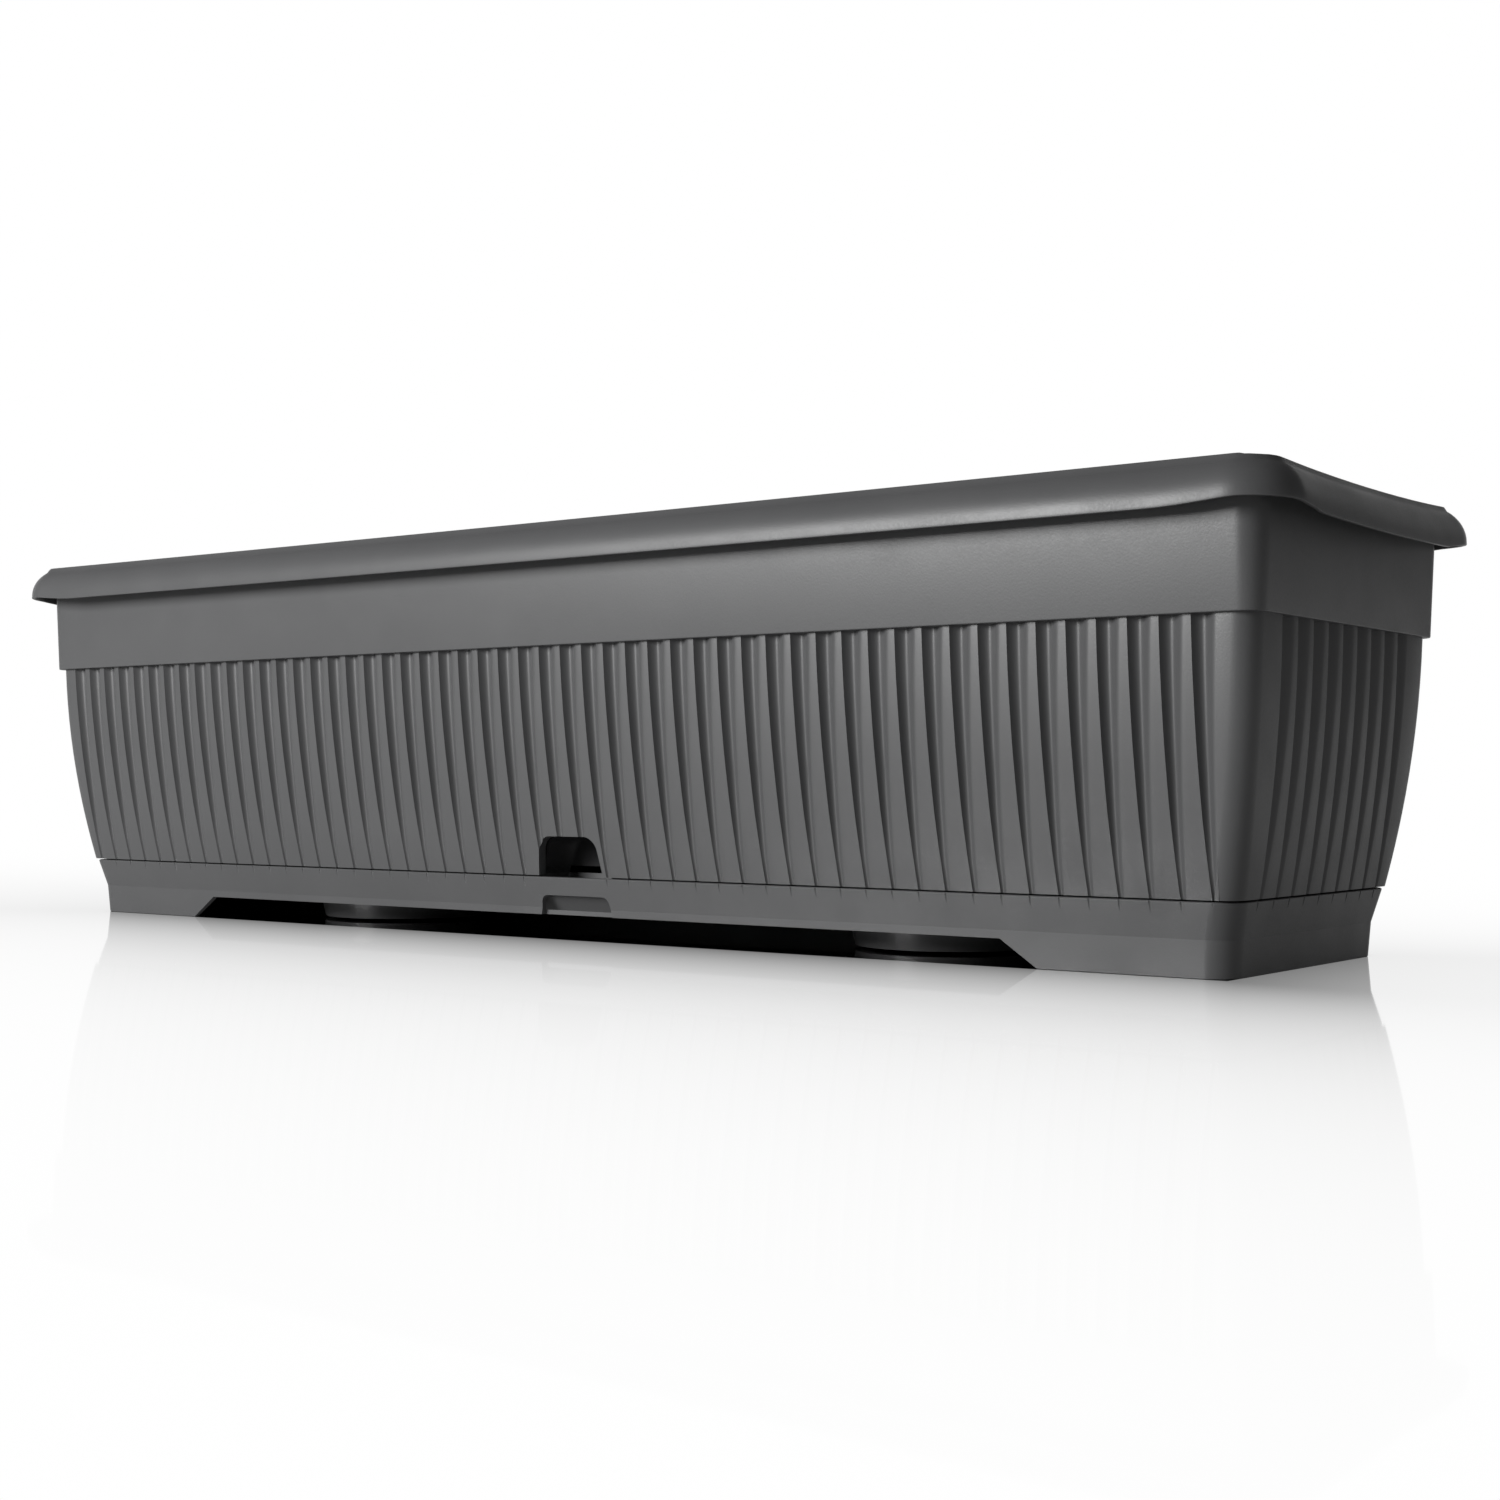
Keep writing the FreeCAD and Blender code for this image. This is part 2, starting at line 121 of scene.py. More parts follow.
# %% [markdown]
# The next helpers finish a piece. Its faces are merged and turned outwards, other pieces
# are joined to it or carved from it, its place goes into its mesh, and it is shaded smooth
# across all but its sharp edges. Where a boolean leaves long thin faces beside small ones,
# a Weighted Normal modifier keeps the large flat faces flat.

# %% Helpers: join, carve and settle
def face_outwards(piece):
    only(piece)
    bpy.ops.object.mode_set(mode="EDIT")
    bpy.ops.mesh.select_all(action="SELECT")
    bpy.ops.mesh.remove_doubles(threshold=MERGE)
    bpy.ops.mesh.normals_make_consistent(inside=False)
    bpy.ops.object.mode_set(mode="OBJECT")


def join(pieces):
    """Join all pieces into the first one."""
    clear_selection()
    for piece in pieces:
        piece.select_set(True)
    bpy.context.view_layer.objects.active = pieces[0]
    bpy.ops.object.join()


def carve(piece, tool, operation="DIFFERENCE"):
    """Apply a boolean with another object, and put that object away."""
    only(piece)
    cut = piece.modifiers.new("cut", "BOOLEAN")
    cut.object = tool
    cut.operation = operation
    cut.solver = "EXACT"
    bpy.ops.object.modifier_apply(modifier=cut.name)
    bpy.data.objects.remove(tool)


def settle(piece, angle=math.radians(28), keep_flats=False):
    """Put the object's place into its mesh, and shade it smooth up to an angle."""
    only(piece)
    bpy.ops.object.transform_apply(location=True, rotation=True, scale=True)
    bpy.ops.object.shade_smooth_by_angle(angle=angle, keep_sharp_edges=False)
    if keep_flats:
        flat = piece.modifiers.new("flat", "WEIGHTED_NORMAL")
        flat.keep_sharp = True
        bpy.ops.object.modifier_apply(modifier="flat")
    piece.data.validate()
    print(piece.name, "faces", len(piece.data.polygons))
    return piece


# %% [markdown]
# The rim and the tray are frames: one profile that runs around a rectangle. A profile is
# a list of points (inset, z, radius), and a point with a radius becomes a small arc, as
# no moulded edge is ever sharp. The top of the rim is a wider arc, a dome.

# %% Helpers: round a profile
def rounded_profile(points, steps=3):
    """Give back points (inset, z), with each radius drawn as a small arc."""
    result = []
    count = len(points)
    for index, (inset, z, radius) in enumerate(points):
        here = Vector((inset, z))
        if radius <= 0:
            result.append((inset, z))
            continue
        before = Vector(points[index - 1][:2]) - here
        after = Vector(points[(index + 1) % count][:2]) - here
        half = before.angle(after) / 2
        back = radius / math.tan(half)
        start = here + before.normalized() * back
        end = here + after.normalized() * back
        for step in range(steps + 1):
            share = step / steps
            near = start.lerp(here, share)
            far = here.lerp(end, share)
            spot = near.lerp(far, share)
            result.append((spot.x, spot.y))
    return result


DOME_FOOT = 139.9 * MM


def dome(edge_inset, top_inset, top_z, steps=8):
    """Arc that starts upright at the lip and leans in up to (top_inset, top_z)."""
    rise = top_z - DOME_FOOT
    run = top_inset - edge_inset
    radius = (run ** 2 + rise ** 2) / (2 * run)
    sweep = math.asin(rise / radius)
    points = []
    for step in range(steps + 1):
        angle = sweep * step / steps
        inset = edge_inset + radius * (1 - math.cos(angle))
        points.append((inset, DOME_FOOT + radius * math.sin(angle), 0.0))
    return points


# %% [markdown]
# The rim is a rolled lip: it hangs 10.6 mm out over the band, rises in a dome and ends
# in a low flat step. Inside the roll is a hollow where the fingers go. Below it is the
# plain band, and behind both is the throat of the box. It is moulded at one distance
# from the band all round, so its corners are wider than those of the band. A curve that
# follows the top of the band, bevelled with the profile as another curve, does just that.

# %% Helper: sweep a profile around the top of the band
BAND_CORNER = 8.0 * MM
BAND_STEPS = 12


def sweep_around(name, profile):
    """Sweep a closed profile of (inset, z) points around the top of the band."""
    clear_selection()
    bpy.ops.mesh.primitive_plane_add(size=1, location=(0, 0, 0))
    path = bpy.context.object
    bpy.ops.object.mode_set(mode="EDIT")
    squeeze(LENGTH - 2 * BAND_TOP_INSET, WIDTH - 2 * BAND_TOP_INSET)
    bpy.ops.mesh.bevel(affect="VERTICES", offset=BAND_CORNER, segments=BAND_STEPS, profile=0.5)
    bpy.ops.mesh.delete(type="ONLY_FACE")
    bpy.ops.object.mode_set(mode="OBJECT")
    bpy.ops.object.convert(target="CURVE")
    clear_selection()
    bpy.ops.mesh.primitive_plane_add(size=1, location=(0, 0, 0))
    section = bpy.context.object
    bpy.ops.object.mode_set(mode="EDIT")
    bpy.ops.mesh.merge(type="CENTER")
    inset, z = profile[0]
    move(x=inset - BAND_TOP_INSET, y=z)
    for next_inset, next_z in profile[1:] + profile[:1]:
        bpy.ops.mesh.extrude_region_move(
            TRANSFORM_OT_translate={"value": (next_inset - inset, next_z - z, 0)}
        )
        inset, z = next_inset, next_z
    bpy.ops.mesh.select_all(action="SELECT")
    bpy.ops.mesh.remove_doubles(threshold=MERGE)
    bpy.ops.object.mode_set(mode="OBJECT")
    bpy.ops.object.convert(target="CURVE")
    path.data.dimensions = "2D"
    path.data.fill_mode = "NONE"
    path.data.bevel_mode = "OBJECT"
    path.data.bevel_object = section
    only(path)
    bpy.ops.object.convert(target="MESH")
    bpy.data.objects.remove(section)
    path.name = name
    face_outwards(path)
    print(name, "size", [round(value, 4) for value in path.dimensions])
    return path


# %% [markdown]
# The profile starts at the lower edge of the band, goes up its outside and through the
# hollow of the roll to the lip, over the dome and the step, and down the throat. Its neck
# stands on the top of the wall and reaches a little way into it, so that no gap shows.

# %% Rim and band
DOME_TOP_INSET = 6.4 * MM
DOME_TOP = 152.3 * MM
STEP_INSET = 7.3 * MM
HOLLOW_TOP_INSET = DOME_TOP_INSET + 1.0 * MM
HOLLOW_TOP = 149.6 * MM
HOLLOW_CORNER = 148.6 * MM
SHELL = 1.5 * MM
LIP_DRAFT = 0.3 * MM
THROAT = 2.6 * MM
THROAT_LOW = 111.4 * MM
NECK_INSET = FLUTE_TOP_INSET + WALL_THICK
NECK_SEAT = 0.6 * MM
rim_points = [
    (BAND_LOW_INSET, BAND_LOW, 0.5 * MM),
    (BAND_TOP_INSET, RIM_LOW, 0.0),
    (BAND_TOP_INSET, HOLLOW_CORNER, 0.8 * MM),
    *dome(SHELL, HOLLOW_TOP_INSET, HOLLOW_TOP)[::-1],
    (SHELL - LIP_DRAFT, RIM_LOW, 0.25 * MM),
    (0.0, RIM_LOW, 0.25 * MM),
    *dome(0.0, DOME_TOP_INSET, DOME_TOP),
    (STEP_INSET, HEIGHT, 0.6 * MM),
    (BAND_TOP_INSET + THROAT, HEIGHT, 0.8 * MM),
    (BAND_LOW_INSET + THROAT, THROAT_LOW, 0.5 * MM),
    (NECK_INSET, THROAT_LOW, 0.5 * MM),
    (NECK_INSET, WALL_TOP, 0.0),
    (NECK_INSET - NECK_SEAT, WALL_TOP, 0.0),
    (NECK_INSET - NECK_SEAT, BAND_LOW, 0.0),
]
rim = sweep_around("rim_and_band", rounded_profile(rim_points))

# %% [markdown]
# A long thin moulding is never quite straight. The end rims hang almost 2 mm lower in
# their middle than at their corners, the long ones a little, and around the corners the
# lip is drawn up. Three functions say how strongly each point of the rim takes part. The
# lift is made a little too strong, and what is over 1 is cut off, so that it holds all
# the way around the corner.

# %% How far each point of the rim sinks or rises
END_SAG = 1.9 * MM
LONG_SAG = 0.5 * MM
SAG_DEPTH = 15 * MM
CORNER_LIFT = 1.8 * MM
LIFT_REACH = 42 * MM
LIFT_DEPTH = 9 * MM
LIFT_GAIN = 1.3


def end_sag(co):
    if co.z < RIM_LOW - MM or LENGTH / 2 - abs(co.x) > SAG_DEPTH:
        return 0.0
    return 1 - (2 * co.y / WIDTH) ** 2


def long_sag(co):
    if co.z < RIM_LOW - MM or WIDTH / 2 - abs(co.y) > SAG_DEPTH:
        return 0.0
    return 1 - (2 * co.x / LENGTH) ** 2


def corner_lift(co):
    inset = min(LENGTH / 2 - abs(co.x), WIDTH / 2 - abs(co.y))
    if co.z < RIM_LOW - MM or inset > LIFT_DEPTH:
        return 0.0
    run = max(LENGTH / 2 - abs(co.x), WIDTH / 2 - abs(co.y))
    near = max(1 - run / LIFT_REACH, 0.0)
    low = max(1 - (co.z - RIM_LOW) / (HEIGHT - RIM_LOW), 0.0)
    return near * near * (3 - 2 * near) * low * LIFT_GAIN


print("sag", END_SAG, LONG_SAG, "lift", CORNER_LIFT)

# %% [markdown]
# A straight edge can't bend, so the straights are sliced into stations first, close
# together near the corners. The functions are then painted as weights, which tell a
# Displace modifier how far to move each point.

# %% Sag of the rim and lift of its corners
def shift_up(piece, amount, weight):
    """Raise each point by amount times its weight, with a Displace modifier."""
    only(piece)
    group = piece.vertex_groups.new(name="shift")
    for vertex in piece.data.vertices:
        share = weight(vertex.co)
        if share > 0:
            group.add([vertex.index], min(share, 1.0), "REPLACE")
    shift = piece.modifiers.new("shift", "DISPLACE")
    shift.direction = "Z"
    shift.strength = amount
    shift.mid_level = 0
    shift.vertex_group = "shift"
    bpy.ops.object.modifier_apply(modifier="shift")
    piece.vertex_groups.clear()


corner_stations = [20 * MM, 26 * MM, 32 * MM, 38 * MM, 44 * MM]
stations_x = [share * 0.1 * LENGTH / 2 for share in range(-8, 9)]
stations_y = [share * 0.15 * WIDTH / 2 for share in range(-3, 4)]
for sign in (-1, 1):
    stations_x += [sign * (LENGTH / 2 - run) for run in corner_stations]
    stations_y += [sign * (WIDTH / 2 - run) for run in corner_stations]
only(rim)
bpy.ops.object.mode_set(mode="EDIT")
for x in stations_x:
    bpy.ops.mesh.select_all(action="SELECT")
    bpy.ops.mesh.bisect(plane_co=(x, 0, 0), plane_no=(1, 0, 0))
for y in stations_y:
    bpy.ops.mesh.select_all(action="SELECT")
    bpy.ops.mesh.bisect(plane_co=(0, y, 0), plane_no=(0, 1, 0))
bpy.ops.object.mode_set(mode="OBJECT")
shift_up(rim, -END_SAG, end_sag)
shift_up(rim, -LONG_SAG, long_sag)
shift_up(rim, CORNER_LIFT, corner_lift)
settle(rim)

# %% [markdown]
# Each side of the box is a row of equal flutes. A flute is a scoop with a crisp left
# edge and a soft right one. It is 2.7 mm deep at the top and thins out to a crease of
# 0.8 mm at the seam. These values and functions give its shape: shares of the way across
# and down, the width that is left at each height, and the barrel curve of the wall.

# %% Shape of a flute and of the wall
FLUTE_SHARE = 0.79
FLUTE_DEPTH = 2.7 * MM
CREASE_DEPTH = 0.8 * MM
CREASE_PLACE = 0.74
STEEP = 0.36
ACROSS = [0.0, 0.03, 0.08, 0.14, 0.20, 0.27, 0.34, 0.42, 0.50, 0.58, 0.66, 0.75, 0.84, 0.92, 1.0]
DOWN = [0.0, 0.09, 0.18, 0.27, 0.36, 0.45, 0.54, 0.63, 0.71, 0.78, 0.84, 0.89, 0.95, 1.0]
WIDTHS = [(0.0, 1.0), (0.2, 0.90), (0.45, 0.75), (0.7, 0.57), (0.85, 0.42), (1.0, 0.26)]


def along(table, share):
    """Straight-line value between the pairs (share, value) of a table."""
    for (low, low_value), (high, high_value) in zip(table, table[1:]):
        if share <= high:
            return low_value + (high_value - low_value) * (share - low) / (high - low)
    return table[-1][1]


def scoop(across):
    """Depth of the flute from 0 to 1: steep at its left edge, soft at its right edge."""
    if across <= STEEP:
        return 1 - (1 - across / STEEP) ** 2
    return (1 + math.cos((across - STEEP) / (1 - STEEP) * math.pi)) / 2


def row_height(share):
    return BAND_LOW + (SEAM - BAND_LOW) * share


def wall_inset(share):
    straight = FLUTE_TOP_INSET + (SEAM_INSET - FLUTE_TOP_INSET) * share
    return straight - 4 * WALL_BULGE * share * (1 - share)


print("flute", len(ACROSS), "points across,", len(DOWN), "rows")

# %% [markdown]
# One flute is modelled on a small grid. Its columns and rows are moved to their places
# one by one, and each is parked far aside until all are done, so that none is picked
# twice. The rows are then pulled narrower, and a Displace modifier pushes the scoop in
# by painted weights.

# %% One flute, on a grid
ASIDE = 10


def one_flute(pitch):
    """Grid in the XZ plane, one pitch wide, with the flute pressed into it."""
    clear_selection()
    columns = len(ACROSS) + 1
    rows = len(DOWN) - 1
    bpy.ops.mesh.primitive_grid_add(
        x_subdivisions=columns, y_subdivisions=rows, size=1, rotation=(math.pi / 2, 0, 0)
    )
    flute = bpy.context.object
    bpy.ops.object.transform_apply(rotation=True)
    scoop_width = pitch * FLUTE_SHARE
    places = [-pitch / 2] + [scoop_width * (share - 0.5) for share in ACROSS] + [pitch / 2]
    bpy.ops.object.mode_set(mode="EDIT")
    for index, place in enumerate(places):
        start = index / columns - 0.5
        pick_vertices(flute, lambda co: abs(co.x - start) < 0.1 / columns)
        move(x=ASIDE + place - start)
    bpy.ops.mesh.select_all(action="SELECT")
    move(x=-ASIDE)
    for index, share in enumerate(DOWN):
        start = 0.5 - index / rows
        pick_vertices(flute, lambda co: abs(co.z - start) < 0.1 / rows)
        move(z=ASIDE + row_height(share) - start)
    bpy.ops.mesh.select_all(action="SELECT")
    move(z=-ASIDE)
    crease_x = scoop_width * (CREASE_PLACE - 0.5)
    for share in DOWN:
        z = row_height(share)
        pick_vertices(flute, lambda co: abs(co.z - z) < NEAR * 10 and abs(co.x) < pitch * 0.49)
        squeeze(x=along(WIDTHS, share), about=(crease_x, 0, z))
    bpy.ops.object.mode_set(mode="OBJECT")
    group = flute.vertex_groups.new(name="depth")
    for vertex in flute.data.vertices:
        share = (vertex.co.z - BAND_LOW) / (SEAM - BAND_LOW)
        left = crease_x + (-scoop_width / 2 - crease_x) * along(WIDTHS, share)
        across = (vertex.co.x - left) / (scoop_width * along(WIDTHS, share))
        depth = max(FLUTE_DEPTH * (1 - share ** 3), CREASE_DEPTH)
        if 0 < across < 1:
            group.add([vertex.index], scoop(across) * depth / FLUTE_DEPTH, "REPLACE")
    press = flute.modifiers.new("press", "DISPLACE")
    press.direction = "Y"
    press.strength = FLUTE_DEPTH
    press.mid_level = 0
    press.vertex_group = "depth"
    bpy.ops.object.modifier_apply(modifier="press")
    flute.vertex_groups.clear()
    return flute


# %% [markdown]
# A side of the box is that flute repeated by an Array modifier. Its rows are then moved
# onto the barrel curve and drawn in a little towards the seam, its ends are drawn out to
# the mitre with the next side, and its top row is extruded over and down the plain inside
# of the wall.

# %% One side of the box
FLUTE_LEAN = 0.008
INSIDE_DOWN = [0.0, 0.2, 0.4, 0.6, 0.8, 1.0]
INSIDE_SQUEEZE = 0.96


def move_ends(side, z, y, end_now, end_next):
    """Move the two end points of one row along X, onto the mitre."""
    for sign in (-1, 1):
        pick_vertices(side, lambda co: abs(co.x - sign * end_now) < NEAR
                      and abs(co.z - z) < NEAR and (y is None or abs(co.y - y) < NEAR))
        move(x=sign * (end_next - end_now))


def one_side(name, count, pitch, half_along, half_out):
    side = one_flute(pitch)
    side.name = name
    only(side)
    repeat = side.modifiers.new("repeat", "ARRAY")
    repeat.count = count
    repeat.use_relative_offset = False
    repeat.use_constant_offset = True
    repeat.constant_offset_displace = (pitch, 0, 0)
    repeat.use_merge_vertices = True
    repeat.merge_threshold = MERGE
    bpy.ops.object.modifier_apply(modifier="repeat")
    bpy.ops.object.mode_set(mode="EDIT")
    bpy.ops.mesh.select_all(action="SELECT")
    move(x=-(count - 1) / 2 * pitch)
    end = count / 2 * pitch
    for share in DOWN:
        z = row_height(share)
        pick_vertices(side, lambda co: abs(co.z - z) < NEAR and abs(co.x) < end - NEAR)
        squeeze(x=1 - FLUTE_LEAN * share)
        move_ends(side, z, None, end, half_along - wall_inset(share))
        pick_vertices(side, lambda co: abs(co.z - z) < NEAR)
        move(y=wall_inset(share) - half_out)
    pick_vertices(side, lambda co: co.z > BAND_LOW - NEAR)
    for rise in (WALL_TOP - BAND_LOW, 0):
        bpy.ops.mesh.extrude_region_move(TRANSFORM_OT_translate={"value": (0, 0, rise)})
    z, y = WALL_TOP, NECK_INSET - half_out
    squeeze(y=0, about=(0, y, z))
    squeeze(x=INSIDE_SQUEEZE)
    move_ends(side, z, y, (half_along - FLUTE_TOP_INSET) * INSIDE_SQUEEZE, half_along - NECK_INSET)
    for share in INSIDE_DOWN:
        pick_vertices(side, lambda co: abs(co.z - z) < NEAR and abs(co.y - y) < NEAR)
        next_z = row_height(share)
        next_y = wall_inset(share) + WALL_THICK - half_out
        bpy.ops.mesh.extrude_region_move(
            TRANSFORM_OT_translate={"value": (0, next_y - y, next_z - z)}
        )
        move_ends(side, next_z, next_y, -y + half_along - half_out, -next_y + half_along - half_out)
        z, y = next_z, next_y
    pick_edges(side, lambda a, b: max(a.z, b.z) < SEAM + NEAR)
    bpy.ops.mesh.bridge_edge_loops()
    bpy.ops.object.mode_set(mode="OBJECT")
    print(name, count, "flutes, vertices", len(side.data.vertices))
    return side


# %% [markdown]
# The front is copied and turned half round for the back, and the two ends are made the
# same way. The four sides meet on sharp mitres, are merged into one closed wall, and a
# bevel along the four upright chains gives the round corners.

# %% Join the four sides into the fluted wall
FRONT_FLUTES = 53
FRONT_PITCH = 10.4 * MM
END_FLUTES = 9
END_PITCH = 12.0 * MM
WALL_CORNER = 7.2 * MM
WALL_SMOOTH = math.radians(24)


def turned_copy(side, angle):
    only(side)
    bpy.ops.object.duplicate()
    copy = bpy.context.object
    copy.rotation_euler.z = angle
    bpy.ops.object.transform_apply(rotation=True)
    return copy


def is_mitre(point):
    out_x = LENGTH / 2 - abs(point.x)
    out_y = WIDTH / 2 - abs(point.y)
    return abs(out_x - out_y) < MERGE * 4 and out_x < SEAM_INSET + WALL_THICK + MM


wall = one_side("fluted_wall", FRONT_FLUTES, FRONT_PITCH, LENGTH / 2, WIDTH / 2)
back = turned_copy(wall, math.pi)
right_end = one_side("right_end", END_FLUTES, END_PITCH, WIDTH / 2, LENGTH / 2)
left_end = turned_copy(right_end, -math.pi / 2)
only(right_end)
right_end.rotation_euler.z = math.pi / 2
bpy.ops.object.transform_apply(rotation=True)
join([wall, back, right_end, left_end])
face_outwards(wall)
bpy.ops.object.mode_set(mode="EDIT")
pick_edges(wall, lambda a, b: is_mitre(a) and is_mitre(b) and a.x * b.x > 0 and a.y * b.y > 0)
bpy.ops.mesh.bevel(
    affect="EDGES", offset_type="ABSOLUTE", offset=WALL_CORNER, segments=CORNER_STEPS, profile=0.5
)
face_outwards(wall)
settle(wall, WALL_SMOOTH)

# %% [markdown]
# The tray is a frame too, with corners that are equally round at every height. A square
# ring is drawn for the first point of its profile, and every further point is one extrude
# and one resize. The first and last rings are capped: the inner cap is the floor of the
# basin and the outer one its underside. The four corner chains are bevelled at the end.

# %% Helper: run a profile around the planter, ring by ring
def run_around(name, profile, corner):
    """Run profile points (inset, z) around the plan of the planter, and cap both ends."""
    clear_selection()
    inset, z = profile[0]
    bpy.ops.mesh.primitive_plane_add(size=1, location=(0, 0, 0))
    piece = bpy.context.object
    piece.name = name
    bpy.ops.object.mode_set(mode="EDIT")
    squeeze(LENGTH - 2 * inset, WIDTH - 2 * inset)
    move(z=z)
    bpy.ops.mesh.delete(type="ONLY_FACE")
    bpy.ops.mesh.select_all(action="SELECT")
    first = Vector((LENGTH / 2 - inset, WIDTH / 2 - inset, z))
    for next_inset, next_z in profile[1:]:
        bpy.ops.mesh.extrude_region_move(TRANSFORM_OT_translate={"value": (0, 0, next_z - z)})
        across_x = (LENGTH - 2 * next_inset) / (LENGTH - 2 * inset)
        across_y = (WIDTH - 2 * next_inset) / (WIDTH - 2 * inset)
        squeeze(across_x, across_y)
        inset, z = next_inset, next_z
    bpy.ops.mesh.edge_face_add()
    pick_vertices(piece, lambda co: (Vector((abs(co.x), abs(co.y), co.z)) - first).length < MERGE)
    bpy.ops.mesh.edge_face_add()
    pick_edges(piece, lambda a, b: a.x * b.x > 0 and a.y * b.y > 0)
    bpy.ops.mesh.bevel(
        affect="EDGES", offset_type="ABSOLUTE", offset=corner, segments=CORNER_STEPS, profile=0.5
    )
    face_outwards(piece)
    return piece


# %% [markdown]
# The profile starts on the floor of the basin, goes up its wall to the top edge of the
# tray and down the skirt, which leans out above a low knee, and comes back up inside the
# skirt to the underside. The two round wells under the floor take the wick cups. Each is
# one cone added and a smaller one taken away.

# %% Tray
KNEE = 11.8 * MM
BASIN_FLOOR = 11.5 * MM
BASIN_UNDER = 9.5 * MM
BASIN_CAP_INSET = 44.0 * MM
SKIRT_INSIDE_TOP = 17.6 * MM
WELL_PLACE = 139 * MM
TRAY_CORNER = 9 * MM
tray_points = [
    (BASIN_CAP_INSET, BASIN_FLOOR, 0.0),
    (35.55 * MM, BASIN_FLOOR, 3.0 * MM),
    (25.85 * MM, TRAY_TOP, 0.5 * MM),
    (TRAY_TOP_INSET, TRAY_TOP, 0.6 * MM),
    (26.75 * MM, KNEE, 1.2 * MM),
    (27.55 * MM, 0.0, 0.4 * MM),
    (29.55 * MM, 0.0, 0.4 * MM),
    (29.30 * MM, BASIN_UNDER, 0.0),
    (27.40 * MM, SKIRT_INSIDE_TOP, 0.0),
    (34.50 * MM, BASIN_UNDER, 1.0 * MM),
    (BASIN_CAP_INSET, BASIN_UNDER, 0.0),
]
tray = run_around("water_tray_shell", rounded_profile(tray_points), TRAY_CORNER)


def cone(x, low_radius, high_radius, low_z, high_z):
    clear_selection()
    bpy.ops.mesh.primitive_cone_add(
        vertices=96, radius1=low_radius, radius2=high_radius, depth=high_z - low_z,
        location=(x, 0, (low_z + high_z) / 2),
    )
    return bpy.context.object


for x in (-WELL_PLACE, WELL_PLACE):
    outside = cone(x, low_radius=34 * MM, high_radius=36.2 * MM, low_z=1 * MM, high_z=10.5 * MM)
    carve(tray, outside, "UNION")
    inside = cone(x, low_radius=32 * MM, high_radius=34 * MM, low_z=3 * MM, high_z=13 * MM)
    carve(tray, inside)

# %% [markdown]
# A low arch is cut into the front of the skirt between the corner feet, and an overflow
# notch sits under the inlet. Each cutter is a cube whose top is squeezed to make a
# trapezoid, with its two upper edges rounded where the real corner is round.

# %% Arch and notch
INLET_X = 14 * MM
FRONT = -WIDTH / 2


def trapezoid(low_width, top_width, low_z, top_z, depth, x=0.0, corner=0.0):
    """Cutter that reaches from the plane of the front rim to a depth behind it."""
    clear_selection()
    bpy.ops.mesh.primitive_cube_add(size=1, location=(0, 0, 0))
    block = bpy.context.object
    bpy.ops.object.mode_set(mode="EDIT")
    bpy.ops.mesh.select_all(action="SELECT")
    y_to = FRONT + depth
    squeeze(low_width, y_to - FRONT, top_z - low_z)
    pick_vertices(block, lambda co: co.z > 0)
    squeeze(x=top_width / low_width)
    if corner > 0:
        pick_edges(block, lambda a, b: a.z > 0 and b.z > 0 and abs(a.y - b.y) > MM)
        bpy.ops.mesh.bevel(
            affect="EDGES", offset_type="ABSOLUTE", offset=corner, segments=CORNER_STEPS,
            profile=0.5,
        )
    bpy.ops.mesh.select_all(action="SELECT")
    move(x, (FRONT + y_to) / 2, (low_z + top_z) / 2)
    bpy.ops.object.mode_set(mode="OBJECT")
    return block


arch = trapezoid(
    low_width=428.2 * MM, top_width=388 * MM, low_z=-4.55 * MM, top_z=9.1 * MM, depth=31.5 * MM
)
carve(tray, arch)
notch = trapezoid(
    low_width=36 * MM, top_width=32 * MM, low_z=6 * MM, top_z=16.5 * MM, depth=29.0 * MM,
    x=INLET_X, corner=2.5 * MM,
)
carve(tray, notch)

# %% [markdown]
# The crease of each flute runs on for 4 mm into the edge of the tray. One thin rod is
# leant so that it bites into the edge and leaves it again, is repeated at the pitch of
# the flutes on every side, and all rods are cut out of the tray at once. Over the notch
# there is no edge to cut.

# %% Ticks in the tray's edge
TICK_RADIUS = 0.5 * MM
TICK_DEPTH = 0.4 * MM
TICK_LENGTH = 4.2 * MM
TICK_SHIFT = 0.4 * MM
TICK_CLEAR = 17 * MM
SKIRT_SLOPE = 0.25


def one_tick(x, half_out, turned):
    """Leaning rod at x on the front, turned onto its side of the tray."""
    clear_selection()
    y = TRAY_TOP_INSET + TICK_DEPTH - TICK_RADIUS - half_out
    lean = math.atan((SKIRT_SLOPE * TICK_LENGTH - TICK_DEPTH) / TICK_LENGTH)
    bpy.ops.mesh.primitive_cylinder_add(
        vertices=10, radius=TICK_RADIUS, depth=2 * TICK_LENGTH,
        location=(x, y, TRAY_TOP), rotation=(lean, 0, 0),
    )
    tick = bpy.context.object
    bpy.ops.object.transform_apply(location=True, rotation=True)
    tick.rotation_euler.z = turned
    bpy.ops.object.transform_apply(rotation=True)
    return tick


